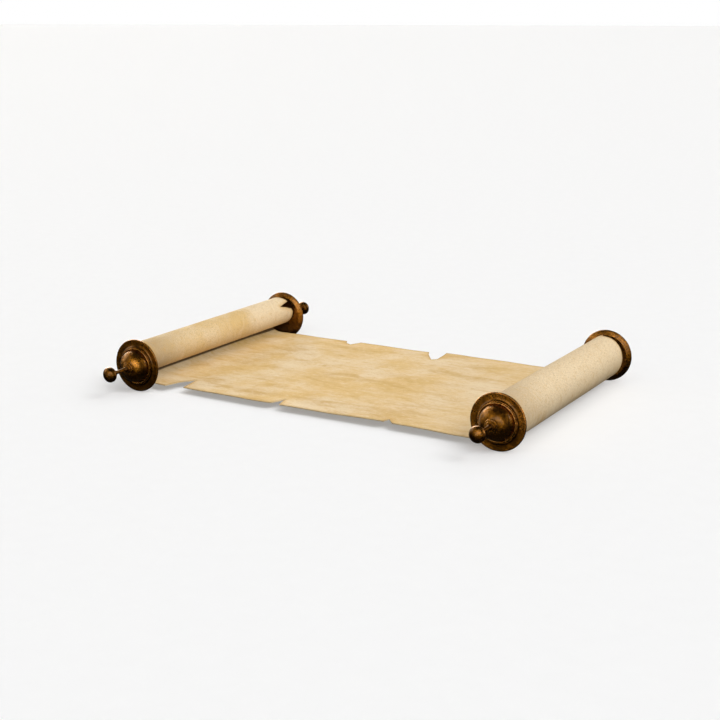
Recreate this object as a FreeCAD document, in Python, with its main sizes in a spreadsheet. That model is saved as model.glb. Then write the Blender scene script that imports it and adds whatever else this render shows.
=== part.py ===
import FreeCAD, Part
import math
import os
import Sketcher

# A parchment scroll on two rollers, opened out flat between them.
# Each roller is a wooden core on a steel tie rod. At both of its ends the rod clamps a turned bronze
# flange, a bead ring, a hollow dome, a stepped collar and a ball knob.
# Frame: X from the left roller to the right one, Y along the rollers (front is -Y), Z up.
# The origin is on the table, at the middle of the open scroll. Lengths are in millimetres.

DIMENSIONS = {
    # where the rollers and the open sheet lie
    "half_span": 186.0,
    "rim_radius": 25.0,
    "sheet_drop": 18.8,
    "sheet_half_width": 121.4,
    "sheet_gap": 0.15,
    "parchment": 0.6,
    # the loose outer turn: three half-turns of shrinking radius, measured to the parchment's middle
    "loose_radius": 19.7,
    "curl_radius": 14.3,
    "lead_radius": 8.0,
    "turn_half_length": 121.0,
    # what turns inside it
    "core_radius": 5.5,
    "winding_radius": 7.3,
    "winding_half_length": 120.0,
    "rod_radius": 1.2,
    "rod_clearance": 0.1,
    "rod_half_length": 156.0,
    "rod_chamfer": 0.3,
    "tack_radius": 0.5,
    "tack_length": 2.5,
    "tack_head_radius": 1.2,
    "tack_head_height": 0.3,
    "tack_pitch": 50.0,
    # flange, along the roller's axis from the middle of the object outwards
    "flange_inner": 124.0,
    "dish_radius": 20.6,
    "dish_depth": 1.9,
    "rim_inset": 0.6,
    "rim_width": 1.5,
    "rim_round": 0.77,
    "lip_radius": 23.3,
    "lip_step": 0.2,
    "band_radius": 19.7,
    "platform_radius": 18.0,
    "platform": 128.9,
    "cove_round": 2.0,
    # bead ring
    "bead_inner": 15.6,
    "bead_outer": 17.4,
    "bead_base": 0.5,
    "bead_round": 0.9,
    # dome
    "dome_radius": 15.5,
    "dome_round": 11.49,
    "dome_top_radius": 5.6,
    "dome_height": 11.38,
    "dome_inner_radius": 14.5,
    "dome_inner_round": 10.49,
    "dome_inner_top_radius": 5.5,
    "dome_inner_height": 10.38,
    # collar of stepped rings
    "collar_ring": 1.2,
    "collar_ring_round": 0.62,
    "collar_neck_radius": 4.3,
    "collar_step": 0.5,
    "collar_top_radius": 3.9,
    "collar_top_ring": 1.0,
    "collar_top_round": 0.52,
    # knob
    "knob_foot": 143.5,
    "foot_radius": 2.7,
    "foot_height": 1.6,
    "stem_radius": 1.75,
    "stem_ring_radius": 2.2,
    "stem_ring_round": 0.75,
    "stem_ring_place": 158.2,
    "ball_place": 166.0,
    "ball_radius": 7.2,
    "ball_half_length": 4.6,
    # fasteners under the dome
    "washer_radius": 4.5,
    "washer_height": 0.6,
    "nut_radius": 3.1,
    "nut_height": 2.2,
    "pin_radius": 0.8,
    "pin_circle": 3.6,
    "pin_half_length": 3.6,
    "pin_clearance": 0.02,
    "pin_end_gap": 0.3,
}

# Torn nicks in the open sheet: where each begins and ends along X and where its tip is, from the
# middle of the scroll, and how deep it runs into the sheet.
TEARS = {
    "left_front": {
        "tear_flap": (-161.0, -142.0, -147.0, 30.0),
        "tear_notch": (-41.5, -31.0, -36.5, 18.5),
    },
    "left_back": {
        "tear_chip": (-102.0, -86.0, -95.0, 11.0),
    },
    "right_front": {
        "tear_nip": (75.0, 85.0, 77.5, 9.0),
    },
    "right_back": {
        "tear_bite": (1.0, 16.5, 14.0, 28.0),
    },
}
TEAR_FACTS = ("start", "end", "tip", "depth")
SIDES = {"left": -1, "right": 1}
ENDS = {"front": -1, "back": 1}
TACKS_PER_CORE = 5
NUT_SIDES = 6
QUARTER_TURN = 90
HALF_TURN = 180
FULL_TURN = 360


class Length:
    """A length from the sheet, or worked out from some: its value and its FreeCAD expression."""

    def __init__(self, value, text=None):
        self.value = float(value)
        self.text = str(value) if text is None else text

    def __add__(self, other):
        other = length(other)
        return Length(self.value + other.value, f"({self.text} + {other.text})")

    def __sub__(self, other):
        other = length(other)
        return Length(self.value - other.value, f"({self.text} - {other.text})")

    def __mul__(self, factor):
        return Length(self.value * factor, f"({self.text} * {factor})")

    def __neg__(self):
        return self * -1


def length(number):
    return number if isinstance(number, Length) else Length(number)


class Sizes:
    """The spreadsheet: each dimension is a cell with an alias, and an attribute here."""

    def __init__(self, document):
        self.sheet = document.addObject("Spreadsheet::Sheet", "Sizes")
        self.rows = 0

    def add(self, alias, value):
        self.rows += 1
        self.sheet.set(f"A{self.rows}", alias)
        self.sheet.set(f"B{self.rows}", str(value))
        self.sheet.setAlias(f"B{self.rows}", alias)
        setattr(self, alias, Length(value, f"Sizes.{alias}"))


doc = FreeCAD.newDocument("Scroll")
size = Sizes(doc)
for alias, value in DIMENSIONS.items():
    size.add(alias, value)
for tears in TEARS.values():
    for tear, facts in tears.items():
        for fact, value in zip(TEAR_FACTS, facts):
            size.add(f"{tear}_{fact}", value)
doc.recompute()

ZERO = Length(0)
X_AXIS = FreeCAD.Vector(1, 0, 0)
Y_AXIS = FreeCAD.Vector(0, 1, 0)
Z_AXIS = FreeCAD.Vector(0, 0, 1)
AXIS_TO_Y = FreeCAD.Rotation(X_AXIS, -QUARTER_TURN)
pieces = {}


def bind(thing, **lengths):
    """Tie properties of a document object to the sheet."""
    for name, value in lengths.items():
        thing.setExpression(name, length(value).text)


def move(thing, x=ZERO, y=ZERO, z=ZERO, rotation=None):
    """Place an object, with its position tied to the sheet."""
    thing.Placement = FreeCAD.Placement(FreeCAD.Vector(), rotation or FreeCAD.Rotation())
    for axis, value in (("x", x), ("y", y), ("z", z)):
        if value is not ZERO:
            thing.setExpression(f"Placement.Base.{axis}", value.text)
    return thing


def keep(thing, node):
    """Name an object as one of the finished pieces."""
    thing.Label = node
    pieces[node] = thing
    return thing


def cylinder(name, radius, height, x=ZERO, y=ZERO, z=ZERO, rotation=None):
    rod = doc.addObject("Part::Cylinder", name)
    bind(rod, Radius=radius, Height=height)
    return move(rod, x, y, z, rotation)


def cut(name, base, tool):
    result = doc.addObject("Part::Cut", name)
    result.Base = base
    result.Tool = tool
    return result


def fuse(name, *parts):
    result = doc.addObject("Part::MultiFuse", name)
    result.Shapes = list(parts)
    return result


def group(name, parts):
    """Separate solids kept as one piece, such as a set of pins."""
    result = doc.addObject("Part::Compound", name)
    result.Links = list(parts)
    return result


def arc_between(start, end, radius, side):
    """The short arc from start to end that bows to the left (side 1) or the right (side -1)."""
    chord = end - start
    height = math.sqrt(max(0.0, radius**2 - (chord.Length / 2) ** 2))
    left = FreeCAD.Vector(-chord.y, chord.x, 0).normalize()
    centre = (start + end) * 0.5 - left * height * side
    first, last = (end, start) if side > 0 else (start, end)
    angles = [math.atan2(p.y - centre.y, p.x - centre.x) for p in (first, last)]
    if angles[1] <= angles[0]:
        angles[1] += 2 * math.pi
    circle = Part.Circle(centre, Z_AXIS, radius)
    return Part.ArcOfCircle(circle, *angles)


def outline(body, plane, corners):
    """A closed sketch on one of the body's origin planes, its corners tied to the sheet.

    A corner is (x, y), or (x, y, radius, side) where an arc leaves it for the next corner.
    """
    sketch = body.newObject("Sketcher::SketchObject", f"{body.Name}_outline")
    base = next(f for f in body.Origin.OriginFeatures if f.Role == plane)
    sketch.AttachmentSupport = (base, [""])
    sketch.MapMode = "FlatFace"
    places = [FreeCAD.Vector(length(c[0]).value, length(c[1]).value, 0) for c in corners]
    starts = []
    for index, corner in enumerate(corners):
        start, end = places[index], places[(index + 1) % len(corners)]
        if len(corner) == 2:
            sketch.addGeometry(Part.LineSegment(start, end), False)
            starts.append(1)
        else:
            radius, side = corner[2:]
            sketch.addGeometry(arc_between(start, end, radius.value, side), False)
            starts.append(2 if side > 0 else 1)

    def tie(kind, *where, value):
        number = sketch.addConstraint(Sketcher.Constraint(kind, *where, value.value))
        sketch.setExpression(f"Constraints[{number}]", value.text)

    for index, corner in enumerate(corners):
        after = (index + 1) % len(corners)
        joint = Sketcher.Constraint("Coincident", index, 3 - starts[index], after, starts[after])
        sketch.addConstraint(joint)
        for kind, axis, value in (("DistanceX", -2, corner[0]), ("DistanceY", -1, corner[1])):
            value = length(value)
            if value.value == 0:
                on_axis = Sketcher.Constraint("PointOnObject", index, starts[index], axis)
                sketch.addConstraint(on_axis)
            else:
                tie(kind, -1, 1, index, starts[index], value=value)
        if len(corner) > 2:
            tie("Radius", index, value=corner[2])
    return sketch


def turned(name, corners):
    """A piece turned on a lathe: corners are (radius, place along the axis)."""
    body = doc.addObject("PartDesign::Body", name)
    profile = outline(body, "XZ_Plane", corners)
    turn = body.newObject("PartDesign::Revolution", f"{name}_turn")
    turn.Profile = profile
    turn.ReferenceAxis = (profile, ["V_Axis"])
    turn.Angle = FULL_TURN
    return body


def roller_end(thing, side, end):
    """Move a piece from its own axis, pointing outwards along Z, to one end of one roller."""
    outwards = FreeCAD.Rotation(X_AXIS, -QUARTER_TURN * ENDS[end])
    return move(thing, x=size.half_span * SIDES[side], z=size.rim_radius, rotation=outwards)


def along_roller(thing, side):
    """Move a piece from the Z axis to one roller, centred on the object."""
    return move(thing, x=size.half_span * SIDES[side], z=size.rim_radius, rotation=AXIS_TO_Y)


def bored(name, solid, radius, low, high):
    """A solid with a round hole along its own Z axis."""
    hole = cylinder(f"{name}_hole", radius, high - low, z=low)
    return cut(name, solid, hole)


def flange(name):
    """Disc with a dished inner face, a half-round rim, a flat band and a cove up to its middle.

    Two blind holes in its inner face take the drive pins.
    """
    bore = size.rod_radius + size.rod_clearance
    rim = size.rim_radius - size.rim_inset
    rim_start = size.flange_inner + size.dish_depth
    rim_end = rim_start + size.rim_width
    disc = turned(
        f"{name}_disc",
        [
            (bore, size.flange_inner),
            (size.dish_radius, size.flange_inner),
            (rim, rim_start, size.rim_round, -1),
            (rim, rim_end),
            (size.lip_radius, rim_end),
            (size.lip_radius, rim_end - size.lip_step),
            (size.band_radius, rim_end - size.lip_step, size.cove_round, -1),
            (size.platform_radius, size.platform),
            (bore, size.platform),
        ],
    )
    hole = size.pin_radius + size.pin_clearance
    depth = size.pin_half_length + size.pin_end_gap
    holes = [
        cylinder(f"{name}_pin_hole_{n}", hole, depth, x=size.pin_circle * s, z=size.flange_inner)
        for n, s in enumerate((-1, 1))
    ]
    return cut(name, disc, fuse(f"{name}_pin_holes", *holes))


def bead_ring(name):
    top = size.platform + size.bead_base
    return turned(
        name,
        [
            (size.bead_inner, size.platform),
            (size.bead_outer, size.platform),
            (size.bead_outer, top, size.bead_round, -1),
            (size.bead_inner, top),
        ],
    )


def dome(name):
    bore = size.rod_radius + size.rod_clearance
    top = size.platform + size.dome_height
    ceiling = size.platform + size.dome_inner_height
    return turned(
        name,
        [
            (size.dome_radius, size.platform, size.dome_round, -1),
            (size.dome_top_radius, top),
            (bore, top),
            (bore, ceiling),
            (size.dome_inner_top_radius, ceiling, size.dome_inner_round, 1),
            (size.dome_inner_radius, size.platform),
        ],
    )


def collar(name):
    """Two round rings with a neck between them, which stand on the dome's flat top."""
    bore = size.rod_radius + size.rod_clearance
    foot = size.platform + size.dome_height
    neck = foot + size.collar_ring
    ring = neck + size.collar_step
    top = ring + size.collar_top_ring
    return turned(
        name,
        [
            (bore, foot),
            (size.dome_top_radius - size.rod_clearance, foot, size.collar_ring_round, -1),
            (size.dome_top_radius - size.rod_clearance, neck),
            (size.collar_top_radius - size.collar_step, neck),
            (size.collar_top_radius - size.collar_step, ring),
            (size.collar_top_radius, ring, size.collar_top_round, -1),
            (size.collar_top_radius, top),
            (size.foot_radius, top),
            (size.foot_radius, size.knob_foot),
            (bore, size.knob_foot),
        ],
    )


def knob(name):
    """Flared foot, thin stem, small ring and oblate ball in one piece, bored for the rod."""
    ball = doc.addObject("Part::Ellipsoid", f"{name}_ball")
    bind(ball, Radius1=size.ball_half_length, Radius2=size.ball_radius)
    bind(ball, Radius3=size.ball_radius)
    move(ball, z=size.ball_place)
    stem = cylinder(
        f"{name}_stem", size.stem_radius, size.ball_place - size.knob_foot, z=size.knob_foot
    )
    foot = doc.addObject("Part::Cone", f"{name}_foot")
    bind(foot, Radius1=size.foot_radius, Radius2=size.stem_radius, Height=size.foot_height)
    move(foot, z=size.knob_foot)
    ring = doc.addObject("Part::Torus", f"{name}_ring")
    bind(ring, Radius1=size.stem_ring_radius, Radius2=size.stem_ring_round)
    move(ring, z=size.stem_ring_place)
    whole = fuse(f"{name}_whole", ball, stem, foot, ring)
    return bored(name, whole, size.rod_radius, size.knob_foot, size.rod_half_length)


def washer(name):
    disc = cylinder(f"{name}_disc", size.washer_radius, size.washer_height, z=size.platform)
    bore = size.rod_radius + size.rod_clearance
    return bored(name, disc, bore, size.platform, size.platform + size.washer_height)


def nut(name):
    start = size.platform + size.washer_height
    hexagon = doc.addObject("Part::Prism", f"{name}_hexagon")
    hexagon.Polygon = NUT_SIDES
    bind(hexagon, Circumradius=size.nut_radius, Height=size.nut_height)
    move(hexagon, z=start)
    return bored(name, hexagon, size.rod_radius, start, start + size.nut_height)


def drive_pins(name):
    start = size.flange_inner - size.pin_half_length
    return group(
        name,
        [
            cylinder(
                f"{name}_{n}",
                size.pin_radius,
                size.pin_half_length * 2,
                x=size.pin_circle * s,
                z=start,
            )
            for n, s in enumerate((-1, 1))
        ],
    )


def core(name):
    """Wooden dowel, bored for the tie rod and, in each end, for the drive pins."""
    dowel = cylinder(
        f"{name}_dowel", size.core_radius, size.flange_inner * 2, z=-size.flange_inner
    )
    bore = cylinder(
        f"{name}_bore",
        size.rod_radius + size.rod_clearance,
        size.flange_inner * 2,
        z=-size.flange_inner,
    )
    holes = [bore]
    hole = size.pin_radius + size.pin_clearance
    depth = size.pin_half_length + size.pin_end_gap
    for n, s in enumerate((-1, 1)):
        for m, start in enumerate((-size.flange_inner, size.flange_inner - depth)):
            holes.append(
                cylinder(f"{name}_pin_hole_{n}{m}", hole, depth, x=size.pin_circle * s, z=start)
            )
    return cut(name, dowel, fuse(f"{name}_holes", *holes))


def tie_rod(name):
    """A plain rod with chamfered ends, which stands for a threaded one."""
    end = size.rod_half_length
    tip = size.rod_radius - size.rod_chamfer
    return turned(
        name,
        [
            (0, -end),
            (tip, -end),
            (size.rod_radius, size.rod_chamfer - end),
            (size.rod_radius, end - size.rod_chamfer),
            (tip, end),
            (0, end),
        ],
    )


def winding(name):
    """The tight turns: a thick tube of parchment on the core."""
    roll = cylinder(
        f"{name}_roll",
        size.winding_radius,
        size.winding_half_length * 2,
        z=-size.winding_half_length,
    )
    return bored(name, roll, size.core_radius, -size.winding_half_length, size.winding_half_length)


def tacks(name):
    """Short tacks in a row along the core, driven in from above the roller's axis."""
    from_axis = FreeCAD.Rotation(Y_AXIS, QUARTER_TURN)
    parts = []
    for n in range(TACKS_PER_CORE):
        place = size.tack_pitch * (n - (TACKS_PER_CORE - 1) / 2)
        shank = cylinder(
            f"{name}_shank_{n}",
            size.tack_radius,
            size.tack_length,
            x=size.core_radius - size.tack_length,
            z=place,
            rotation=from_axis,
        )
        head = cylinder(
            f"{name}_head_{n}",
            size.tack_head_radius,
            size.tack_head_height,
            x=size.core_radius - size.tack_head_height,
            z=place,
            rotation=from_axis,
        )
        parts.append(fuse(f"{name}_tack_{n}", shank, head))
    return group(name, parts)


def half_tube(name, radius, height, outer):
    """Half a turn of parchment about the Y axis, its middle at radius and its centre at height.

    It is the half on the side away from the sheet if outer, and else the half towards it.
    """
    skin = size.parchment * 0.5
    half = size.turn_half_length
    upright = FreeCAD.Rotation(Z_AXIS, -QUARTER_TURN if outer else QUARTER_TURN)
    outside = cylinder(f"{name}_outside", radius + skin, half * 2, z=-half, rotation=upright)
    inside = cylinder(f"{name}_inside", radius - skin, half * 2, z=-half, rotation=upright)
    outside.Angle = HALF_TURN
    inside.Angle = HALF_TURN
    return move(cut(name, outside, inside), z=height, rotation=AXIS_TO_Y)


def outer_turn(name, side):
    """The loose turn: from under the roller up its far side, over it and in around the winding."""
    low = -size.sheet_drop
    top = low + size.loose_radius * 2
    halves = [
        half_tube(f"{name}_rise", size.loose_radius, low + size.loose_radius, True),
        half_tube(f"{name}_curl", size.curl_radius, top - size.curl_radius, False),
        half_tube(f"{name}_lead", size.lead_radius, ZERO, True),
    ]
    facing = FreeCAD.Rotation(Z_AXIS, 0 if SIDES[side] > 0 else HALF_TURN)
    turn = fuse(name, *halves)
    return move(turn, x=size.half_span * SIDES[side], z=size.rim_radius, rotation=facing)


def sheet_half(name, side):
    """Half of the open sheet, with the torn nicks of its front and back edges."""
    width = size.sheet_half_width * 2
    span = size.half_span - size.sheet_gap
    origin = -span if side == "left" else ZERO

    def edge(end):
        """The corners of one long edge, from left to right."""
        base = ZERO if end == "front" else width
        corners = [(ZERO, base)]
        for tear in TEARS[f"{side}_{end}"]:
            start, stop, tip, depth = (getattr(size, f"{tear}_{fact}") for fact in TEAR_FACTS)
            depth = depth if end == "front" else width - depth
            corners += [(start - origin, base), (tip - origin, depth), (stop - origin, base)]
        return corners + [(span, base)]

    body = doc.addObject("PartDesign::Body", name)
    pad = body.newObject("PartDesign::Pad", f"{name}_pad")
    pad.Profile = outline(body, "XY_Plane", edge("front") + edge("back")[::-1])
    body.Tip = pad
    bind(pad, Length=size.parchment)
    low = size.rim_radius - size.sheet_drop - size.parchment * 0.5
    return move(body, x=origin, y=-size.sheet_half_width, z=low)


END_PIECES = {
    "flange": flange,
    "bead_ring": bead_ring,
    "dome": dome,
    "collar": collar,
    "knob": knob,
    "washer": washer,
    "nut": nut,
    "drive_pins": drive_pins,
}
ROLLER_PIECES = {"core": core, "tie_rod": tie_rod, "winding": winding, "tacks": tacks}

for side in SIDES:
    keep(sheet_half(f"{side}_sheet", side), f"{side}_sheet")
    keep(outer_turn(f"{side}_outer_turn", side), f"{side}_outer_turn")
    for piece, make in ROLLER_PIECES.items():
        node = f"{side}_{piece}"
        keep(along_roller(make(node), side), node)
    for end in ENDS:
        for piece, make in END_PIECES.items():
            node = f"{side}_{end}_{piece}"
            keep(roller_end(make(node), side, end), node)

doc.recompute()

faults = []
for thing in doc.Objects:
    if "Invalid" in thing.State or "Error" in thing.State:
        faults.append(f"{thing.Label} did not recompute")
for node, thing in pieces.items():
    shape = thing.Shape
    if shape.isNull() or not shape.isValid() or not shape.Solids:
        faults.append(f"{node} has no valid solid")
if faults:
    raise RuntimeError("; ".join(faults))

os.makedirs("parts", exist_ok=True)
for node, thing in pieces.items():
    thing.Shape.exportStep(f"parts/{node}.step")
    print(f"{node}: {thing.Shape.Volume:.1f} mm3, {len(thing.Shape.Solids)} solid(s)")
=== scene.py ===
import math

import bmesh
import bpy
import numpy as np
from mathutils import Matrix, Vector, noise
from mathutils.geometry import delaunay_2d_cdt


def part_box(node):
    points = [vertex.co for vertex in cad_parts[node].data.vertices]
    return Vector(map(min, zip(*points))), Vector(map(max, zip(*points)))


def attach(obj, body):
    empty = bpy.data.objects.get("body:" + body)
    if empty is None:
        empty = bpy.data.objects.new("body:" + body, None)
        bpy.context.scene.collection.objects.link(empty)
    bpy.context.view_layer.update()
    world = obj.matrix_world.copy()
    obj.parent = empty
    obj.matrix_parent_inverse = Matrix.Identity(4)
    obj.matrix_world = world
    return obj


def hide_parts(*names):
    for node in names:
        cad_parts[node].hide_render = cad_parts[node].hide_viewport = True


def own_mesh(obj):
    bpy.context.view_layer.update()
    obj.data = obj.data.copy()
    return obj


# A blank parchment scroll, opened out flat between two rollers with antique-bronze ends.
# Lengths are in metres, in the frame of the CAD model: X from roller to roller, Y along them, Z up.

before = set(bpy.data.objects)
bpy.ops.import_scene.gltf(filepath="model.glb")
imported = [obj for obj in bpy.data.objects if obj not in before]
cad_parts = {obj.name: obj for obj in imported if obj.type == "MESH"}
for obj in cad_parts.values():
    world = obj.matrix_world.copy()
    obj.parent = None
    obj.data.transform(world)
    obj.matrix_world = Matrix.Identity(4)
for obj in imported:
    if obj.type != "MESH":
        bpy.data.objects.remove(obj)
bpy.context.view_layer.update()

MM = 0.001
SAME_PLACE = 1e-7  # points closer together than this are one point
SIDES = {"left": -1, "right": 1}
ENDS = {"front": -1, "back": 1}


def middle(node):
    """The centre of a CAD node."""
    low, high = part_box(node)
    return (low + high) / 2


HALF_SPAN = middle("right_core").x
AXIS_Z = middle("right_core").z
SHEET_DROP = AXIS_Z - middle("right_sheet").z


def clamped(value):
    """A value held between 0 and 1."""
    return min(1.0, max(0.0, value))


def shown(name, mesh):
    """A new object of the scene, made from a mesh."""
    piece = bpy.data.objects.new(name, mesh)
    bpy.context.scene.collection.objects.link(piece)
    return piece


def keep_values(mesh, name, kind, domain, values):
    """Numbers or vectors kept on the points or faces of a mesh, for its material to read."""
    field = "vector" if kind == "FLOAT_VECTOR" else "value"
    kept = mesh.attributes.new(name, kind, domain)
    kept.data.foreach_set(field, np.array(values, np.float32).ravel())


# ---------------------------------------------------------------- parchment

SKIN = 0.8 * MM  # thickness of the parchment
GRID = 2.4 * MM  # spacing of the points in the open sheet
TURN_GRID = 1.5 * MM  # and around the roll
LAID_WIDTH = 0.25  # width that points are laid over, a little more than the parchment's
EDGE_CLEARANCE = 0.35  # how near to an edge a point may be laid, in spacings
NORMAL_STEP = 0.4 * MM  # how far off the neighbours are that a normal is worked out from

# The roll in cross-section: half-turns of shrinking radius, from under the roller up its outer side,
# over it and in around the winding. Radii are those of the CAD turn.
TURN_LOW, TURN_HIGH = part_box("right_outer_turn")
TURN_SKIN = 0.6 * MM
LOOSE_RADIUS = (TURN_HIGH.z - TURN_LOW.z - TURN_SKIN) / 2
CURL_RADIUS = HALF_SPAN - TURN_LOW.x - TURN_SKIN / 2
LEAD_RADIUS = 8.0 * MM
TURNS = [
    # radius, height of the centre over the roller's axis, angle at which the half-turn begins
    (LOOSE_RADIUS, LOOSE_RADIUS - SHEET_DROP, -math.pi / 2),
    (CURL_RADIUS, 2 * LOOSE_RADIUS - SHEET_DROP - CURL_RADIUS, math.pi / 2),
    (LEAD_RADIUS, 0.0, -math.pi / 2),
]
TURN_END = HALF_SPAN + math.pi * sum(radius for radius, _, _ in TURNS)

# The long edges of the parchment, in millimetres: distance along the sheet from the middle of the
# scroll, and place along the rollers. Both go from the middle outwards, through the torn nicks.
EDGES = {
    ("left", "front"): [
        (0, -119.4), (31, -119.8), (34.1, -109.5), (36.4, -101.1), (37.8, -108.8),
        (41.4, -117.6), (50.4, -118.2), (96, -116.6), (142, -114.4), (143.6, -104),
        (146.8, -87.5), (152, -95), (156, -100.6), (158.5, -110), (161.3, -117), (168, -116.4),
        (175, -115), (186, -116), (200, -118), (247, -119.5), (292, -119), (320, -118),
    ],
    ("left", "back"): [
        (0, 113.4), (3, 119.7), (30, 120.8), (85.6, 122.2), (91.5, 109.6), (98.2, 113.1),
        (102.3, 121.2), (140, 121.5), (186, 121.5), (200, 121), (240, 118), (250, 117),
        (258, 119.4), (259.3, 112), (261.4, 101.6), (263.5, 109.7), (265.5, 115), (266.5, 119.5),
        (270, 122), (292, 122.3), (320, 121),
    ],
    ("right", "front"): [
        (0, -119.4), (67.7, -119.7), (75.7, -119.9), (77.2, -112), (85, -121), (120, -122),
        (160, -122.6), (186, -121.5), (200, -120), (247, -119), (292, -119.5), (320, -118),
    ],
    ("right", "back"): [
        (0, 113.4), (1.9, 109.4), (13, 92.9), (17.8, 96.9), (17.1, 110.7), (15.9, 122.5),
        (60, 122), (119, 122.1), (160, 121), (186, 118), (206, 114), (222, 114.8), (240, 116.5),
        (248.5, 115.6), (250.5, 120.5), (270, 121.5), (292, 121), (320, 120),
    ],
}
EDGE_SEEDS = {"front": 1.0, "back": 2.0}
RAGGED_STEP = 1.2 * MM  # spacing of the points along the torn edges
RAGGED_WAVES = ((9 * MM, 0.35 * MM), (2 * MM, 0.16 * MM))  # size and depth

# The open sheet's slow waves and the curl of its long edges, which both die out under the rolls.
WAVE_ALONG = 0.11
WAVE_ACROSS = 0.075
WAVE_HEIGHT = 0.7 * MM
WAVE_SEED = 3.1
CURL_ALONG = 0.045
CURL_HEIGHT = 0.8 * MM
CURL_START = 0.085  # from the middle of the sheet's width
CURL_WIDTH = 0.035
CURL_SEED = 7.7
CURL_EDGE_SEED = 4.0  # one edge has this, the other its opposite
FLAT_START = HALF_SPAN - 6 * MM
FLAT_EASE = 0.03

# The uneven swell of the roll, which begins where it leaves the flat sheet.
SWELL_ALONG = 0.03
SWELL_ACROSS = 0.09
SWELL_HEIGHT = 0.35 * MM
SWELL_SEED = 11.0
SWELL_EASE = 0.02


def ragged(points, seed):
    """An edge with its stretches divided and roughened, as torn and handled parchment is."""
    rough = []
    for start, end in zip(points, points[1:]):
        a, b = Vector(start) * MM, Vector(end) * MM
        steps = max(1, round((b - a).length / RAGGED_STEP))
        across = Vector((a.y - b.y, b.x - a.x)).normalized()
        rough.append(a)
        for n in range(1, steps):
            p = a.lerp(b, n / steps)
            wobble = 0.0
            for size, depth in RAGGED_WAVES:
                wobble += noise.noise(Vector((p.x / size, p.y / size, seed))) * depth
            rough.append(p + across * wobble)
    rough.append(Vector(points[-1]) * MM)
    return rough


def clipped(points, low, high):
    """The stretch of an edge between two distances along the sheet, with points on both ends."""
    inside = []
    for a, b in zip(points, points[1:]):
        if low <= a.x <= high:
            inside.append(a)
        cuts = []
        for end in (low, high):
            if min(a.x, b.x) < end < max(a.x, b.x):
                cut = a.lerp(b, (end - a.x) / (b.x - a.x))
                cut.x = end
                cuts.append(cut)
        inside += sorted(cuts, key=lambda cut: (cut - a).length)
    if low <= points[-1].x <= high:
        inside.append(points[-1])
    return inside


def waviness(x, y):
    """How far the open sheet stands from flat at a place on it: slow waves, and curled edges."""
    slow = noise.noise(Vector((x / WAVE_ALONG, y / WAVE_ACROSS, WAVE_SEED)))
    edge = clamped((abs(y) - CURL_START) / CURL_WIDTH)
    curl = noise.noise(Vector((x / CURL_ALONG, math.copysign(CURL_EDGE_SEED, y), CURL_SEED)))
    settle = clamped((FLAT_START - abs(x)) / FLAT_EASE)
    settle = settle * settle * (3 - 2 * settle)
    return (slow * WAVE_HEIGHT + curl * edge * edge * CURL_HEIGHT) * settle


def on_path(along):
    """Place (outwards, up) and outward normal of the parchment at a distance from the middle.

    The place is from the roller's axis, and the normal is on the face that is up in the open sheet.
    The last half-turn runs on past its end.
    """
    if along <= HALF_SPAN:
        return along - HALF_SPAN, -SHEET_DROP, 0.0, 1.0
    along -= HALF_SPAN
    for radius, height, start in TURNS:
        half_turn = math.pi * radius
        if along <= half_turn or radius == LEAD_RADIUS:
            angle = start + along / radius
            c, s = math.cos(angle), math.sin(angle)
            return radius * c, height + radius * s, -c, -s
        along -= half_turn


def place(side, along, y):
    """A point in the middle of the parchment's thickness, in the scroll's frame."""
    out, up, normal_out, normal_up = on_path(along)
    if along <= HALF_SPAN:
        lift = waviness(SIDES[side] * along, y)
    else:
        spot = Vector((along / SWELL_ALONG, y / SWELL_ACROSS, SWELL_SEED * SIDES[side]))
        lift = noise.noise(spot) * SWELL_HEIGHT * min(1.0, (along - HALF_SPAN) / SWELL_EASE)
    x = SIDES[side] * (HALF_SPAN + out + normal_out * lift)
    return Vector((x, y, AXIS_Z + up + normal_up * lift))


def upward(side, along, y):
    """The normal of the parchment's upper face, worked out from its neighbourhood."""
    step = NORMAL_STEP
    a = place(side, along + step, y) - place(side, max(0.0, along - step), y)
    if along < step:  # the two halves meet here, and their waves run on
        height = waviness(step, y) - waviness(-step, y)
        a = Vector((2 * step * SIDES[side], 0, height * SIDES[side]))
    b = place(side, along, y + step) - place(side, along, y - step)
    normal = a.cross(b) * SIDES[side]
    return normal.normalized()


def outline_of(side, low, high, grid):
    """The outline of a stretch of the parchment: front edge, outer end, back edge, inner end."""
    front, back = (
        clipped(ragged(EDGES[side, edge], seed), low, high) for edge, seed in EDGE_SEEDS.items()
    )
    ends = []
    for start, end in ((front[-1], back[-1]), (back[0], front[0])):
        steps = round((end - start).length / grid)
        ends.append([start.lerp(end, n / steps) for n in range(1, steps)])
    return front + ends[0] + back[::-1] + ends[1]


def edge_distance(points, segments):
    """Distance from each point to the nearest of the segments."""
    points = np.array([tuple(p) for p in points], float)
    nearest = np.full(len(points), np.inf)
    for a, b in segments:
        way = b - a
        share = np.clip(((points - a) @ way) / max(way @ way, SAME_PLACE**2), 0, 1)
        gap = np.linalg.norm(points - a - share[:, None] * way, axis=1)
        nearest = np.minimum(nearest, gap)
    return nearest


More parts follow.
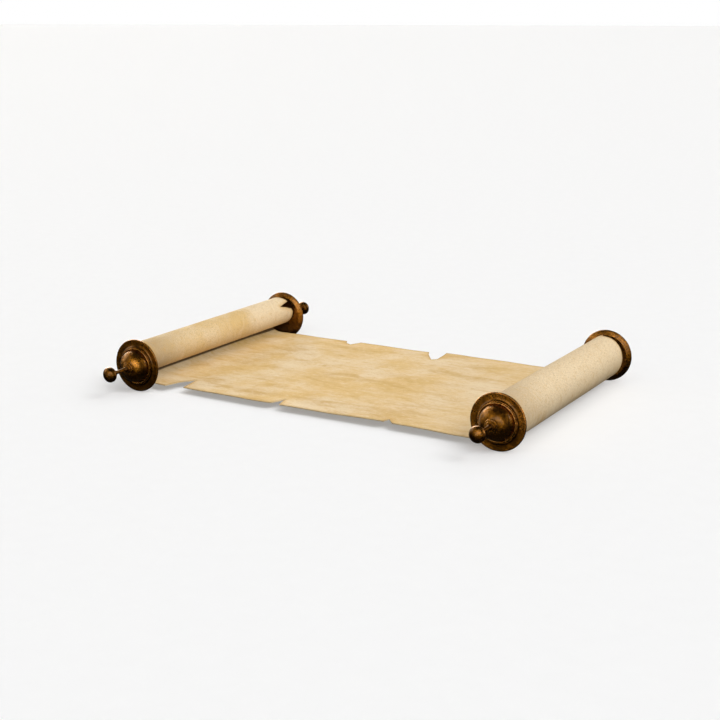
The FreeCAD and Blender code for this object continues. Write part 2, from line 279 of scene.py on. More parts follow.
def triangulated(outline, low, high, grid):
    """An outline filled with triangles: points, faces, and each point's distance from an edge."""
    columns = max(2, round((high - low) / grid))
    rows = round(LAID_WIDTH / GRID)
    laid = [
        (low + (high - low) * column / columns, (row / rows - 0.5) * LAID_WIDTH)
        for column in range(1, columns)
        for row in range(rows + 1)
    ]
    rim = np.array(list(zip(outline, outline[1:] + outline[:1])), float)
    clear = edge_distance(laid, rim) > grid * EDGE_CLEARANCE
    points = outline + [Vector(p) for p, is_clear in zip(laid, clear) if is_clear]
    lines = [(n, (n + 1) % len(outline)) for n in range(len(outline))]
    flat, _, faces, _, _, _ = delaunay_2d_cdt(points, lines, [], 1, SAME_PLACE)
    # the two ends of a piece aren't edges of the parchment
    torn = rim[rim[:, 0, 0] != rim[:, 1, 0]]
    return flat, [tuple(f) for f in faces if len(f) == 3], edge_distance(flat, torn)


def closed(upper, count):
    """Faces of a closed skin: the upper ones, the same ones under them, and walls all round."""
    under = [tuple(v + count for v in reversed(f)) for f in upper]
    unpaired = {}
    for f in upper:
        for a, b in zip(f, f[1:] + f[:1]):
            if (b, a) in unpaired:
                del unpaired[b, a]
            else:
                unpaired[a, b] = True
    walls = [(b, a, a + count, b + count) for a, b in unpaired]
    return upper + under + walls


def parchment(name, side, low, high, grid):
    """A closed piece of parchment, from one distance along the sheet to another."""
    flat, faces, near = triangulated(outline_of(side, low, high, grid), low, high, grid)
    count = len(flat)
    normals = [upward(side, p.x, p.y) for p in flat]
    middles = [place(side, p.x, p.y) for p in flat]
    verts = [m + n * SKIN / 2 for m, n in zip(middles, normals)]
    verts += [m - n * SKIN / 2 for m, n in zip(middles, normals)]
    if SIDES[side] < 0:
        faces = [f[::-1] for f in faces]
    mesh = bpy.data.meshes.new(name)
    mesh.from_pydata(verts, [], closed(faces, count))
    mesh.validate()
    spread = [(SIDES[side] * p.x, p.y, upper) for upper in (1.0, 0.0) for p in flat]
    walls = [len(p.vertices) == 4 for p in mesh.polygons]
    keep_values(mesh, "flat", "FLOAT_VECTOR", "POINT", spread)
    keep_values(mesh, "edge", "FLOAT", "POINT", [near, near])
    keep_values(mesh, "wall", "FLOAT", "FACE", walls)
    mesh.polygons.foreach_set("use_smooth", [not wall for wall in walls])
    loops = []
    for polygon, wall in zip(mesh.polygons, walls):
        for v in polygon.vertices:
            if wall:
                loops.append(polygon.normal)
            else:
                loops.append(normals[v] if v < count else -normals[v - count])
    mesh.normals_split_custom_set([tuple(n) for n in loops])
    return shown(name, mesh)


# ---------------------------------------------------------------- the winding

WINDING_TURNS = 3
WINDING_STEPS = 216
WINDING_ROWS = 49
WINDING_SKIN = 0.42 * MM
CORE_GAP = 0.1 * MM
WINDING_CREASE = math.radians(50)  # sharper edges than this are shaded as edges


def winding(name, side):
    """The inner turns of the parchment, a spiral on the wooden core, and their length."""
    low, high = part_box(f"{side}_winding")
    outer = (high.z - low.z) / 2
    inner = (middle(f"{side}_core").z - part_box(f"{side}_core")[0].z) + CORE_GAP
    steps, rows, skin = WINDING_STEPS, WINDING_ROWS, WINDING_SKIN
    centre = Vector((SIDES[side] * HALF_SPAN, 0, AXIS_Z))
    verts = []
    for layer in (1, -1):
        for n in range(steps + 1):
            angle = 2 * math.pi * WINDING_TURNS * n / steps * SIDES[side]
            radius = inner + skin / 2 + (outer - inner - skin) * n / steps + layer * skin / 2
            for row in range(rows):
                y = low.y + (high.y - low.y) * row / (rows - 1)
                ray = Vector((radius * math.cos(angle), y, radius * math.sin(angle)))
                verts.append(centre + ray)
    size = (steps + 1) * rows
    faces = []
    for n in range(steps):
        for row in range(rows - 1):
            a = n * rows + row
            quad = (a, a + rows, a + rows + 1, a + 1)
            faces += [quad, tuple(v + size for v in reversed(quad))]
        for row in (0, rows - 1):
            a = n * rows + row
            quad = (a, a + size, a + rows + size, a + rows)
            faces.append(quad if row == 0 else quad[::-1])
    for n in (0, steps):
        for row in range(rows - 1):
            a = n * rows + row
            quad = (a, a + 1, a + 1 + size, a + size)
            faces.append(quad if n == 0 else quad[::-1])
    if SIDES[side] > 0:
        faces = [f[::-1] for f in faces]
    mesh = bpy.data.meshes.new(name)
    mesh.from_pydata(verts, [], faces)
    mesh.polygons.foreach_set("use_smooth", [True] * len(faces))
    length = math.pi * (inner + outer) * WINDING_TURNS
    spread = [
        (SIDES[side] * (TURN_END + length * (n % size // rows) / steps), v.y, float(n < size))
        for n, v in enumerate(verts)
    ]
    keep_values(mesh, "flat", "FLOAT_VECTOR", "POINT", spread)
    keep_values(mesh, "edge", "FLOAT", "POINT", [min(v.y - low.y, high.y - v.y) for v in verts])
    mesh.set_sharp_from_angle(angle=WINDING_CREASE)
    return shown(name, mesh), length


# ---------------------------------------------------------------- turned bronze

SEGMENTS = 144
ARC_STEPS = 14
FLANGE_FACE = abs(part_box("right_back_flange")[0].y)  # inner face of a flange, from the middle

# How a profile is finished, in millimetres and radians.
CORNER_EASE = 0.12
CORNER_SHARE = 0.4  # most of a straight run that the easing of one corner takes
CORNER_STEPS = 4
CORNER_TURN = 0.35  # corners blunter than this aren't eased
LONG_RUN = 1.2
RIDGE_REACH = 0.6  # how far on either side of a ridge the wear shows
RIDGE_TURN = 1.5  # turn of the profile at a fully worn ridge

DENT_DEPTH = 0.09 * MM
BROAD_DENT = 7 * MM
SMALL_DENT = 2.5 * MM
DENT_START = 3  # radius in millimetres within which the dents fade out
RUBBED_WEAR = 0.5


def arc(start, end, radius):
    """Points of a profile from start to end on an arc that bulges to the right of its way.

    A negative radius bulges to the left, which hollows the piece.
    """
    a, b = Vector(start), Vector(end)
    half = (b - a) / 2
    reach = max(abs(radius), half.length)
    back = math.sqrt(reach**2 - half.length_squared) * math.copysign(1, radius)
    left = Vector((-half.y, half.x)).normalized()
    centre = a + half + left * back
    first, last = a - centre, b - centre
    sweep = -first.angle_signed(last)
    points = []
    for n in range(ARC_STEPS + 1):
        angle = math.atan2(first.y, first.x) + sweep * n / ARC_STEPS
        points.append(tuple(centre + Vector((math.cos(angle), math.sin(angle))) * reach))
    return points


def softened(corners):
    """A closed profile with its sharp corners eased, and long straight runs divided."""
    path = []
    count = len(corners)
    for n in range(count):
        p = Vector(corners[n])
        before = Vector(corners[n - 1]) - p
        after = Vector(corners[(n + 1) % count]) - p
        if p.x == 0:
            path.append(p)
            continue
        if abs(before.angle(-after)) > CORNER_TURN:
            a = p + before.normalized() * min(CORNER_EASE, before.length * CORNER_SHARE)
            b = p + after.normalized() * min(CORNER_EASE, after.length * CORNER_SHARE)
            shares = [step / CORNER_STEPS for step in range(CORNER_STEPS + 1)]
            path += [a.lerp(p, share).lerp(p.lerp(b, share), share) for share in shares]
        else:
            path.append(p)
        pieces = int(after.length / LONG_RUN)
        path += [p + after * (m / pieces) for m in range(1, pieces)]
    return path


def wear_of(path):
    """How proud each point of a closed profile stands: 1 on a ridge, 0 on a flat or in a groove."""
    turns = []
    for m, p in enumerate(path):
        a, b = p - path[m - 1], path[(m + 1) % len(path)] - p
        turns.append(-a.angle_signed(b) if min(a.length, b.length) > 1e-6 else 0.0)
    wear = []
    for p in path:
        near = [
            turn * math.exp(-(((q - p).length / RIDGE_REACH) ** 2)) for q, turn in zip(path, turns)
        ]
        wear.append(clamped(sum(near) / RIDGE_TURN))
    return wear


def turned(name, corners, side, end, seed, rubbed, shaded_below):
    """A bronze piece turned about the roller's axis, with the small dents of long use.

    The surface is rubbed bright as far outwards as the given distance. A piece shaded below is
    painted darker the lower the place is on it: painted shade.
    """
    path = softened(corners)
    wear = [RUBBED_WEAR if p.y < rubbed else worn for p, worn in zip(path, wear_of(path))]
    centre = Vector((SIDES[side] * HALF_SPAN, ENDS[end] * FLANGE_FACE, AXIS_Z))
    verts, values = [], []
    for p, worn in zip(path, wear):
        for n in range(SEGMENTS):
            angle = 2 * math.pi * n / SEGMENTS
            ray = Vector((math.cos(angle), 0, math.sin(angle)))
            spot = centre + (ray * p.x + Vector((0, ENDS[end] * p.y, 0))) * MM
            dent = noise.noise(spot / BROAD_DENT + Vector((seed, 0, 0)))
            dent += 0.5 * noise.noise(spot / SMALL_DENT + Vector((0, seed, 0)))
            verts.append(spot + ray * dent * DENT_DEPTH * min(1.0, p.x / DENT_START))
            # painted shade: a piece shaded below is darker the lower the place is on it
            values.append(worn + shaded_below * min(0.0, ray.z))
    faces = []
    count = len(path)
    for ring in range(count):
        for n in range(SEGMENTS):
            m = (n + 1) % SEGMENTS
            a, b = ring * SEGMENTS, (ring + 1) % count * SEGMENTS
            face = (a + n, a + m, b + m, b + n)
            faces.append(face if ENDS[end] < 0 else face[::-1])
    mesh = bpy.data.meshes.new(name)
    mesh.from_pydata(verts, [], faces)
    keep_values(mesh, "wear", "FLOAT", "POINT", values)
    joined = bmesh.new()
    joined.from_mesh(mesh)
    bmesh.ops.remove_doubles(joined, verts=joined.verts, dist=SAME_PLACE)
    joined.to_mesh(mesh)
    joined.free()
    mesh.polygons.foreach_set("use_smooth", [True] * len(mesh.polygons))
    return shown(name, mesh)


def ball(radius, half_length, centre):
    """Points of a profile round an oblate ball, from the stem that it stands on to its top."""
    angles = [math.radians(a) for a in range(15, 180, 5)]
    return [(radius * math.sin(a), centre - half_length * math.cos(a)) for a in angles]


# The profiles: radius, and distance outwards from the flange's inner face, in millimetres.
PROFILES = {
    "flange": [
        (6, 0), (20.6, 0), (24.2, 1.75), *arc((24.4, 1.9), (24.4, 3.4), 0.77),
        (23.3, 3.4), (23.3, 3.2), *arc((19.7, 3.2), (18.0, 4.9), -2.0), (6, 4.9),
    ],
    "bead_ring": [
        (15.6, 4.9), (17.4, 4.9), *arc((17.4, 5.3), (15.6, 5.3), 0.92),
    ],
    "dome": [
        *arc((15.5, 4.9), (5.6, 16.28), 11.49), (4, 16.28), (4, 15.28),
        *arc((5.5, 15.28), (14.5, 4.9), -10.49),
    ],
    "collar": [
        (1.4, 16.28), *arc((5.5, 16.28), (5.5, 17.48), 0.62), (3.4, 17.48), (3.4, 17.98),
        *arc((3.9, 17.98), (3.9, 18.98), 0.52), (2.7, 18.98), (2.7, 19.5), (1.4, 19.5),
    ],
    "knob": [
        (0, 19.5), (2.7, 19.5), (2.0, 20.4), (1.75, 21.4), (1.75, 33.4),
        *arc((1.9, 33.5), (1.9, 34.9), 0.82), (1.75, 35.0), *ball(7.2, 4.6, 42.0), (0, 46.6),
    ],
}


# ---------------------------------------------------------------- materials


def blank(name):
    """A new material: its node tree and its shader."""
    material = bpy.data.materials.new(name)
    material.use_nodes = True
    return material, material.node_tree, material.node_tree.nodes["Principled BSDF"]


def add(tree, kind, inputs=(), **settings):
    """A shader node with its settings and inputs, each input a value or another node's output."""
    made = tree.nodes.new("ShaderNode" + kind)
    for name, value in settings.items():
        setattr(made, name, value)
    for key, value in dict(inputs).items():
        if isinstance(value, bpy.types.NodeSocket):
            tree.links.new(value, made.inputs[key])
        else:
            made.inputs[key].default_value = value
    return made


def grain(tree, where, scale, stretch=(1, 1, 1), detail=4, roughness=0.55, distortion=0.0):
    """Noise from 0 to 1 whose features are 1 / scale across, stretched along an axis if asked."""
    if stretch != (1, 1, 1):
        where = add(tree, "Mapping", {"Vector": where, "Scale": stretch}).outputs[0]
    wanted = {
        "Vector": where, "Scale": scale, "Detail": detail, "Roughness": roughness,
        "Distortion": distortion,
    }
    return add(tree, "TexNoise", wanted).outputs["Fac"]


def between(tree, value, low, high, to_low=0.0, to_high=1.0):
    """A value carried smoothly from one range to another."""
    wanted = {
        "Value": value, "From Min": low, "From Max": high, "To Min": to_low, "To Max": to_high,
    }
    return add(tree, "MapRange", wanted, interpolation_type="SMOOTHSTEP").outputs["Result"]


def math_of(tree, operation, *values):
    """One arithmetic step on shader values."""
    return add(tree, "Math", dict(enumerate(values)), operation=operation).outputs[0]


def times(tree, a, b):
    """The product of two shader values."""
    return math_of(tree, "MULTIPLY", a, b)


def mixed(tree, factor, a, b, blend="MIX"):
    """Colour a going over to colour b."""
    made = add(tree, "Mix", data_type="RGBA", blend_type=blend)
    for key, value in zip((0, 6, 7), (factor, a, b)):
        if isinstance(value, bpy.types.NodeSocket):
            tree.links.new(value, made.inputs[key])
        elif key == 0:
            made.inputs[key].default_value = value
        else:
            made.inputs[key].default_value = (*value, 1)
    return made.outputs[2]


def bumped(tree, shader, height, distance, strength):
    """Surface relief from a height."""
    made = add(tree, "Bump", {"Height": height, "Distance": distance, "Strength": strength})
    tree.links.new(made.outputs[0], shader.inputs["Normal"])


CREAM = (0.715, 0.490, 0.205)
PALE = (0.800, 0.645, 0.430)
TAN = (0.590, 0.360, 0.110)
BROWN = (0.300, 0.145, 0.040)
CUT = (0.90, 0.74, 0.46)
OLIVE = (0.470, 0.330, 0.140)
# GREY is for hair marks, and also for painted shade on the rolls' undersides and front ends
GREY = (0.365, 0.255, 0.140)
# the dark brown of the painted shade in the crevice under the roll and at the fold
CREVICE_SHADE = (0.050, 0.024, 0.008)
PITTED = (0.018, 0.008, 0.001)

# Where the parchment's colour changes, from and to. Along the sheet, from the middle of the scroll:
ON_ROLL = (0.205, 0.225)
RIGHT_HALF = (0.0, 0.21)
LEFT_HALF = (0.05, -0.05)
# painted shade: the crevice under the roll is painted dark from here on
CREASE = (HALF_SPAN + 9.3 * MM, HALF_SPAN + 11.3 * MM)  # where the roll hides the open sheet
CURL_END = HALF_SPAN + math.pi * (LOOSE_RADIUS + CURL_RADIUS)
# painted shade on the lower part of the roll, before the loose turn ends
UNDERSIDE = (CURL_END - 0.026, CURL_END - 0.004)
# painted shade on the roll's lower edge, where the loose turn ends
FOLD = (CURL_END - 0.008, CURL_END - 0.001)
# and across it, along the rollers:
PALE_END = (0.053, 0.060)
# painted shade on the rolls, growing towards their front flanges
FRONT_SHADE_END = (-0.040, -0.125)
# towards the ends of the rolls the painted crevice shade starts a little further in
CREASE_END = (0.065, 0.115)


def stained(tree, flat, cloud, on_roll, quiet):
    """Cream, pale and tan patches: streaked in the open sheet, plainer on the rolls, with painted
    shade.
    """
    along, across, _ = add(tree, "SeparateXYZ", {0: flat}).outputs
    blotch = grain(tree, flat, 13, detail=5, roughness=0.6)
    streak = grain(tree, flat, 60, stretch=(0.16, 1, 1), detail=6, roughness=0.66, distortion=0.3)
    uneven_end = math_of(tree, "MULTIPLY_ADD", cloud, 0.012, across)
    far = between(tree, uneven_end, *PALE_END)
    right = between(tree, along, *RIGHT_HALF)
    tanned = times(tree, on_roll, math_of(tree, "SUBTRACT", 1.0, far))
    tanned = times(tree, tanned, between(tree, along, *LEFT_HALF))
    pale = times(tree, on_roll, math_of(tree, "MAXIMUM", far, right))
    colour = mixed(tree, between(tree, blotch, 0.38, 0.64, 0, 0.95), CREAM, PALE)
    colour = mixed(tree, times(tree, right, 0.5), colour, PALE)
    colour = mixed(tree, times(tree, pale, 0.95), colour, PALE)
    colour = mixed(tree, times(tree, tanned, 0.18), colour, OLIVE)
    lined = times(tree, between(tree, streak, 0.46, 0.72, 0, 0.5), quiet)
    colour = mixed(tree, lined, colour, TAN)
    clouded = times(tree, between(tree, cloud, 0.50, 0.72, 0, 0.8), quiet)
    colour = mixed(tree, clouded, colour, TAN)
    # painted shade towards the front flanges of the rolls, a little less on the right roll
    front_shade = times(tree, on_roll, between(tree, uneven_end, *FRONT_SHADE_END, 0, 0.8))
    front_shade = times(tree, front_shade, math_of(tree, "MULTIPLY_ADD", right, -0.30, 1.0))
    colour = mixed(tree, front_shade, colour, GREY)
    # painted shade on the lower part of the roll
    under = between(tree, math_of(tree, "ABSOLUTE", along), *UNDERSIDE, 0, 0.4)
    colour = mixed(tree, under, colour, GREY)
    return mixed(tree, between(tree, cloud, 0.46, 0.26, 0, 0.6), colour, PALE)


def fibrous(tree, colour, flat, fibre, mottle, on_roll, quiet):
    """The fine fibres, mottle, hair marks and specks of skin."""
    colour = mixed(tree, between(tree, fibre, 0.45, 0.75, 0, 0.45), colour, TAN)
    colour = mixed(tree, between(tree, mottle, 0.50, 0.74, 0, 0.6), colour, TAN)
    bloom = times(tree, between(tree, mottle, 0.50, 0.28, 0, 0.6), quiet)
    colour = mixed(tree, bloom, colour, PALE)
    hair = grain(tree, flat, 1300, stretch=(0.5, 1, 1), detail=3, roughness=0.6)
    hairiness = math_of(tree, "MULTIPLY_ADD", on_roll, 0.60, 0.15)
    hairy = times(tree, between(tree, hair, 0.46, 0.72), hairiness)
    colour = mixed(tree, hairy, colour, GREY)
    speck = grain(tree, flat, 520, detail=2, roughness=0.5)
    return mixed(tree, between(tree, speck, 0.70, 0.80, 0, 0.7), colour, BROWN)


def edged(tree, colour, mottle):
    """Edges that are tan and then brown, and a pale cut surface."""
    edge = add(tree, "Attribute", attribute_name="edge").outputs["Fac"]
    wall = add(tree, "Attribute", attribute_name="wall").outputs["Fac"]
    frayed = math_of(tree, "MULTIPLY_ADD", mottle, -0.003, edge)
    colour = mixed(tree, between(tree, frayed, 0.0035, -0.001, 0, 0.5), colour, TAN)
    colour = mixed(tree, between(tree, frayed, 0.0004, -0.0016, 0, 0.4), colour, BROWN)
    return mixed(tree, times(tree, wall, 0.8), colour, CUT)


def crease_shaded(tree, colour, flat):
    """Painted shade where the sheet goes in under the roll, and where the loose turn ends."""
    along, across, upper = add(tree, "SeparateXYZ", {0: flat}).outputs
    distance = math_of(tree, "ABSOLUTE", along)
    at_end = between(tree, math_of(tree, "ABSOLUTE", across), *CREASE_END, 0, 0.0012)
    # painted shade in the crevice under the roll, on the upper face only
    crease = between(tree, math_of(tree, "ADD", distance, at_end), *CREASE, 0, 0.95)
    crease = times(tree, crease, upper)
    # painted shade on the roll's lower edge where the loose turn ends
    fold = between(tree, distance, *FOLD, 0, 0.8)
    return mixed(tree, math_of(tree, "MAXIMUM", crease, fold), colour, CREVICE_SHADE)


def parchment_material():
    """Old parchment, stained, fibrous, brown at its edges, with painted shade in its crease and
    folds.
    """
    material, tree, shader = blank("parchment")
    flat = add(tree, "Attribute", attribute_name="flat").outputs["Vector"]
    cloud = grain(tree, flat, 40, stretch=(0.5, 1.2, 1), detail=7, roughness=0.68, distortion=0.5)
    fibre = grain(tree, flat, 800, stretch=(0.3, 1, 1), detail=4, roughness=0.65)
    mottle = grain(tree, flat, 230, stretch=(0.6, 1, 1), detail=6, roughness=0.72)
    along = add(tree, "SeparateXYZ", {0: flat}).outputs[0]
    on_roll = between(tree, math_of(tree, "ABSOLUTE", along), *ON_ROLL)
    quiet = math_of(tree, "MULTIPLY_ADD", on_roll, -0.75, 1.0)
    colour = stained(tree, flat, cloud, on_roll, quiet)
    colour = fibrous(tree, colour, flat, fibre, mottle, on_roll, quiet)
    colour = edged(tree, colour, mottle)
    colour = crease_shaded(tree, colour, flat)
    tree.links.new(colour, shader.inputs["Base Color"])
    shader.inputs["IOR"].default_value = 1.45
    rough = between(tree, cloud, 0.3, 0.7, 0.62, 0.82)
    tree.links.new(rough, shader.inputs["Roughness"])
    wrinkle = grain(tree, flat, 60, stretch=(0.5, 1, 1), detail=5, roughness=0.5)
    height = math_of(tree, "MULTIPLY_ADD", fibre, 0.18, wrinkle)
    height = math_of(tree, "MULTIPLY_ADD", mottle, 0.22, height)
    bumped(tree, shader, height, 0.0012, 0.6)
    return material


def bronze_material(name, dark, copper, bright, shine):
    """Antique bronze: a dark patina, worn to copper in patches and on its ridges."""
    material, tree, shader = blank(name)
    where = add(tree, "TexCoord").outputs["Object"]
    # the wear values also hold painted shade, darker on the lower half of the left flanges
    wear = add(tree, "Attribute", attribute_name="wear").outputs["Fac"]
    patch = grain(tree, where, 75, detail=6, roughness=0.62, distortion=0.6)
    mottle = grain(tree, where, 360, detail=6, roughness=0.7)
    pits = grain(tree, where, 900, detail=3, roughness=0.6)
    unevenness = math_of(tree, "SUBTRACT", mottle, 0.5)
    worn = math_of(tree, "MULTIPLY_ADD", wear, 0.50, between(tree, patch, 0.30, 0.70, 0.1, 0.9))
    worn = math_of(tree, "MULTIPLY_ADD", unevenness, 1.2, worn)
    colour = mixed(tree, between(tree, worn, 0.0, 0.9), dark, copper)
    colour = mixed(tree, between(tree, worn, 0.8, 1.6), colour, bright)
    colour = mixed(tree, between(tree, pits, 0.58, 0.72, 0, 0.75), colour, PITTED)
    tree.links.new(colour, shader.inputs["Base Color"])
    shader.inputs["Metallic"].default_value = 1.0
    shader.inputs["Coat Weight"].default_value = shine
    shader.inputs["Coat Roughness"].default_value = 0.14
    rough = between(tree, worn, 0.0, 1.3, 0.36, 0.20)
    rough = math_of(tree, "MULTIPLY_ADD", unevenness, 0.4, rough)
    tree.links.new(rough, shader.inputs["Roughness"])
    height = math_of(tree, "MULTIPLY_ADD", pits, 0.4, mottle)
    bumped(tree, shader, height, 0.0008, 0.6)
    return material


def wood_material():
    """Turned hardwood, with its grain along the roller."""
    material, tree, shader = blank("wood")
    where = add(tree, "TexCoord").outputs["Object"]
    figure = grain(tree, where, 300, stretch=(1, 0.06, 1), detail=6, roughness=0.6)
    pores = grain(tree, where, 1500, stretch=(1, 0.03, 1), detail=3)
    colour = mixed(tree, between(tree, figure, 0.35, 0.65), (0.19, 0.095, 0.038), (0.34, 0.19, 0.08))
    colour = mixed(tree, between(tree, pores, 0.55, 0.7, 0, 0.6), colour, (0.07, 0.032, 0.014))
    tree.links.new(colour, shader.inputs["Base Color"])
    tree.links.new(between(tree, figure, 0.3, 0.7, 0.42, 0.6), shader.inputs["Roughness"])
    bumped(tree, shader, pores, 0.0003, 0.5)
    return material


def steel_material():
    """Brushed steel, brushed round the roller's axis."""
    material, tree, shader = blank("steel")
    where = add(tree, "TexCoord").outputs["Object"]
    brushed = grain(tree, where, 2200, stretch=(0.08, 1, 0.08), detail=4)
    stain = grain(tree, where, 240, detail=4)
    colour = mixed(tree, between(tree, brushed, 0.3, 0.7), (0.36, 0.35, 0.33), (0.62, 0.61, 0.58))
    colour = mixed(tree, between(tree, stain, 0.55, 0.75, 0, 0.5), colour, (0.17, 0.12, 0.08))
    tree.links.new(colour, shader.inputs["Base Color"])
    shader.inputs["Metallic"].default_value = 1.0
    tree.links.new(between(tree, brushed, 0.3, 0.7, 0.3, 0.5), shader.inputs["Roughness"])
    bumped(tree, shader, brushed, 0.0001, 0.4)
    return material


# ---------------------------------------------------------------- the scroll

MATERIALS = {
    "parchment": parchment_material(),
    "bronze": bronze_material(
        "bronze", (0.090, 0.036, 0.002), (0.35, 0.148, 0.014), (0.82, 0.41, 0.11), 0.35
    ),
    "dark_bronze": bronze_material(
        "dark_bronze", (0.055, 0.022, 0.001), (0.21, 0.086, 0.008), (0.66, 0.31, 0.08), 0.30
    ),
    "worn_bronze": bronze_material(
        "worn_bronze", (0.07, 0.028, 0.002), (0.27, 0.115, 0.014), (0.85, 0.46, 0.15), 0.50
    ),
    "wood": wood_material(),
    "steel": steel_material(),
}
LOOK_OF_TURNED = {"flange": "dark_bronze", "bead_ring": "worn_bronze", "knob": "dark_bronze"}
RUBBED = {"flange": 1.9}  # how far out of its inner face the parchment rubs a piece, in millimetres
SHADED_BELOW = {("left", "flange"): 1.9}  # how much painted shade darkens the lower half of a piece
KEPT_NODES = {"core": "wood", "tie_rod": "steel", "tacks": "steel"}
KEPT_END_NODES = {"washer": "steel", "nut": "steel", "drive_pins": "steel"}
SEEDS = {"left": 3.0, "right": 43.0}


def dressed(piece, look, body, *nodes):
    """Gives a piece its material and its body, in place of the CAD nodes it stands for."""
    piece.data.materials.clear()
    piece.data.materials.append(MATERIALS[look])
    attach(piece, body)
    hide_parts(*nodes)


def repaint(node, slot):
    """A CAD node that stays as it is, with a detailed material."""
    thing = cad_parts[node]
    if not thing.data.materials:
        thing.data.materials.append(None)
    for holder in thing.material_slots:
        holder.link = "OBJECT"
        holder.material = MATERIALS[slot]


def half_parchment(side):
    """One half of the open sheet, the loose turn of its roll and the turns on the core."""
    sheet = parchment(f"{side}_parchment_sheet", side, 0.0, HALF_SPAN, GRID)
    dressed(sheet, "parchment", "open_sheet", f"{side}_sheet")
    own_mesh(sheet)
    roll = parchment(f"{side}_parchment_roll", side, HALF_SPAN, TURN_END, TURN_GRID)
    dressed(roll, "parchment", f"{side}_wrap", f"{side}_outer_turn")
    inner, length = winding(f"{side}_parchment_winding", side)
    dressed(inner, "parchment", f"{side}_roller", f"{side}_winding")


def roller(side):
    """The bronze ends of a roller, and the wood and steel that they are clamped to."""
    for n, end in enumerate(ENDS):
        for m, (kind, profile) in enumerate(PROFILES.items()):
            name = f"{side}_{end}_bronze_{kind}"
            seed = SEEDS[side] + 10 * n + m
            rubbed = RUBBED.get(kind, 0.0)
            shaded_below = SHADED_BELOW.get((side, kind), 0.0)
            piece = turned(name, profile, side, end, seed, rubbed, shaded_below)
            look = LOOK_OF_TURNED.get(kind, "bronze")
            dressed(piece, look, f"{side}_roller", f"{side}_{end}_{kind}")
        for kind, slot in KEPT_END_NODES.items():
            repaint(f"{side}_{end}_{kind}", slot)
    for kind, slot in KEPT_NODES.items():
        repaint(f"{side}_{kind}", slot)


for half in SIDES:
    half_parchment(half)
    roller(half)


# ---------------------------------------------------------------- studio

FLOOR_REACH = 30
WARM = (1.0, 0.90, 0.72)  # colour of the room and its panels in the bronze

# What the bronze reflects: soft patches of light, each a direction, how wide, and how bright. The
# width is the cosine of the angle where the patch begins, and of the angle where it is full.
PANELS = [
    ((-0.18, -0.97, 0.06), 0.950, 0.985, 2.9),
    ((0.14, -0.92, 0.37), 0.950, 0.985, 3.6),
    ((-0.90, -0.22, 0.38), 0.940, 0.980, 2.6),
    ((-0.70, 0.62, 0.36), 0.920, 0.975, 9.0),
    ((0.77, 0.51, 0.37), 0.950, 0.985, 4.0),
    ((0.46, -0.86, 0.20), 0.965, 0.990, 2.3),
]

# The camera: its place, its direction and roll in degrees, and its lens and sensor in millimetres.
EYE = (0.61775, -1.097, 0.348)
AZIMUTH = 30.03
ELEVATION = 14.38
ROLL = -0.2
LENS = 68.03
SENSOR = 36
NEAREST = 0.05
FARTHEST = 100


def glow(name, towards, spread, strength, shadow=False):
    """A wide soft light from a direction, which lights the floor evenly as far as it goes.

    The bronze doesn't mirror it, because the studio's panels are there for that.
    """
    light = bpy.data.lights.new(name, "SUN")
    light.angle = math.radians(spread)
    light.energy = strength
    light.use_shadow = shadow
    lamp = shown(name, light)
    lamp.rotation_euler = Vector(towards).to_track_quat("Z", "Y").to_euler()
    lamp.visible_glossy = False


def floor():
    """A plain pale floor, with the faint mottle of seamless paper."""
    mesh = bpy.data.meshes.new("floor")
    ways = ((-1, -1), (1, -1), (1, 1), (-1, 1))
    corners = [(x * FLOOR_REACH, y * FLOOR_REACH, 0) for x, y in ways]
    mesh.from_pydata(corners, [], [(0, 1, 2, 3)])
    material, tree, shader = blank("floor")
    where = add(tree, "TexCoord").outputs["Object"]
    tone = between(tree, grain(tree, where, 60), 0.3, 0.7)
    paper = mixed(tree, tone, (0.960, 0.960, 0.960), (0.970, 0.970, 0.970))
    tree.links.new(paper, shader.inputs["Base Color"])
    shader.inputs["Roughness"].default_value = 0.9
    shader.inputs["Specular IOR Level"].default_value = 0.1
    mesh.materials.append(material)
    plane = shown("floor", mesh)
    plane.visible_glossy = False
    plane.visible_diffuse = False


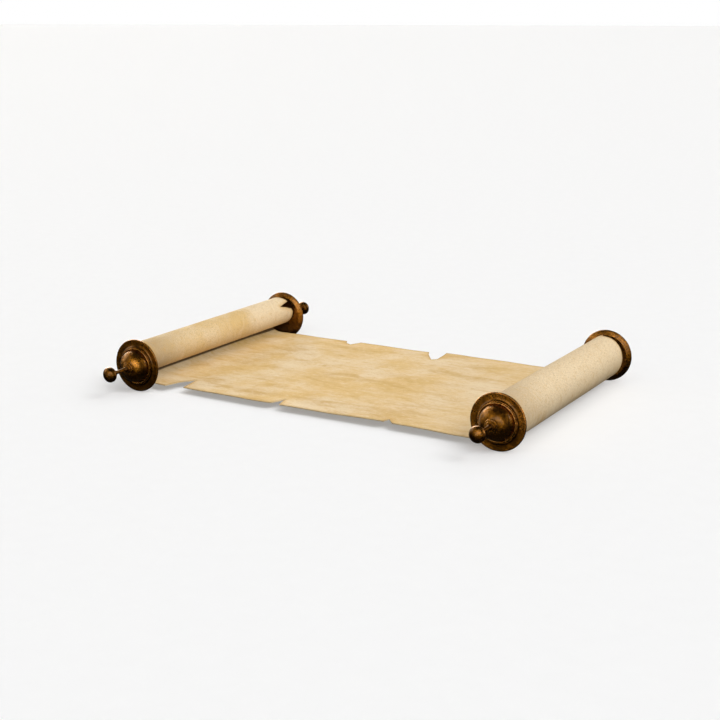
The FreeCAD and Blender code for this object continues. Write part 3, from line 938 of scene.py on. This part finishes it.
def studio():
    """Light from every side and above, and what shines in the bronze."""
    world = bpy.data.worlds.new("studio")
    world.use_nodes = True
    tree = world.node_tree
    back = tree.nodes["Background"]
    path = add(tree, "LightPath").outputs
    direction = add(tree, "TexCoord").outputs["Generated"]
    height = add(tree, "SeparateXYZ", {0: direction}).outputs["Z"]
    room = between(tree, height, -0.25, 0.10, 0.02, 0.16)
    room = times(tree, room, between(tree, height, 0.35, 0.85, 1.0, 0.35))
    for towards, outer, inner, strength in PANELS:
        pair = {0: direction, 1: Vector(towards).normalized()}
        cosine = add(tree, "VectorMath", pair, operation="DOT_PRODUCT").outputs["Value"]
        room = math_of(tree, "ADD", room, between(tree, cosine, outer, inner, 0, strength))
    ambient = between(tree, height, -0.2, 0.1, 0.12, 0.19)
    shine = mixed(tree, 1.0, WARM, room, "MULTIPLY")
    light = mixed(tree, path["Is Glossy Ray"], ambient, shine)
    tree.links.new(mixed(tree, path["Is Camera Ray"], light, (1, 1, 1)), back.inputs["Color"])
    bpy.context.scene.world = world
    glow("key", (0.80, -0.12, 0.75), 30, 0.97, shadow=True)
    glow("fill", (0.85, -0.15, 0.65), 60, 1.04)
    glow("front", (0.30, -0.60, 0.85), 60, 0.76)
    glow("back", (0.35, 0.60, 0.90), 60, 0.70)


def camera():
    """A camera in front of the scroll and to its right, a little above the table."""
    azimuth, elevation = math.radians(AZIMUTH), math.radians(ELEVATION)
    data = bpy.data.cameras.new("camera")
    data.lens = LENS
    data.sensor_width = SENSOR
    data.clip_start = NEAREST
    data.clip_end = FARTHEST
    back = Vector((
        math.sin(azimuth) * math.cos(elevation),
        -math.cos(azimuth) * math.cos(elevation),
        math.sin(elevation),
    ))
    roll = Matrix.Rotation(math.radians(ROLL), 3, "Z")
    turn = back.to_track_quat("Z", "Y").to_matrix() @ roll
    eye = shown("camera", data)
    eye.matrix_world = Matrix.Translation(EYE) @ turn.to_4x4()
    bpy.context.scene.camera = eye


floor()
studio()
camera()
bpy.context.scene.view_settings.view_transform = "Standard"
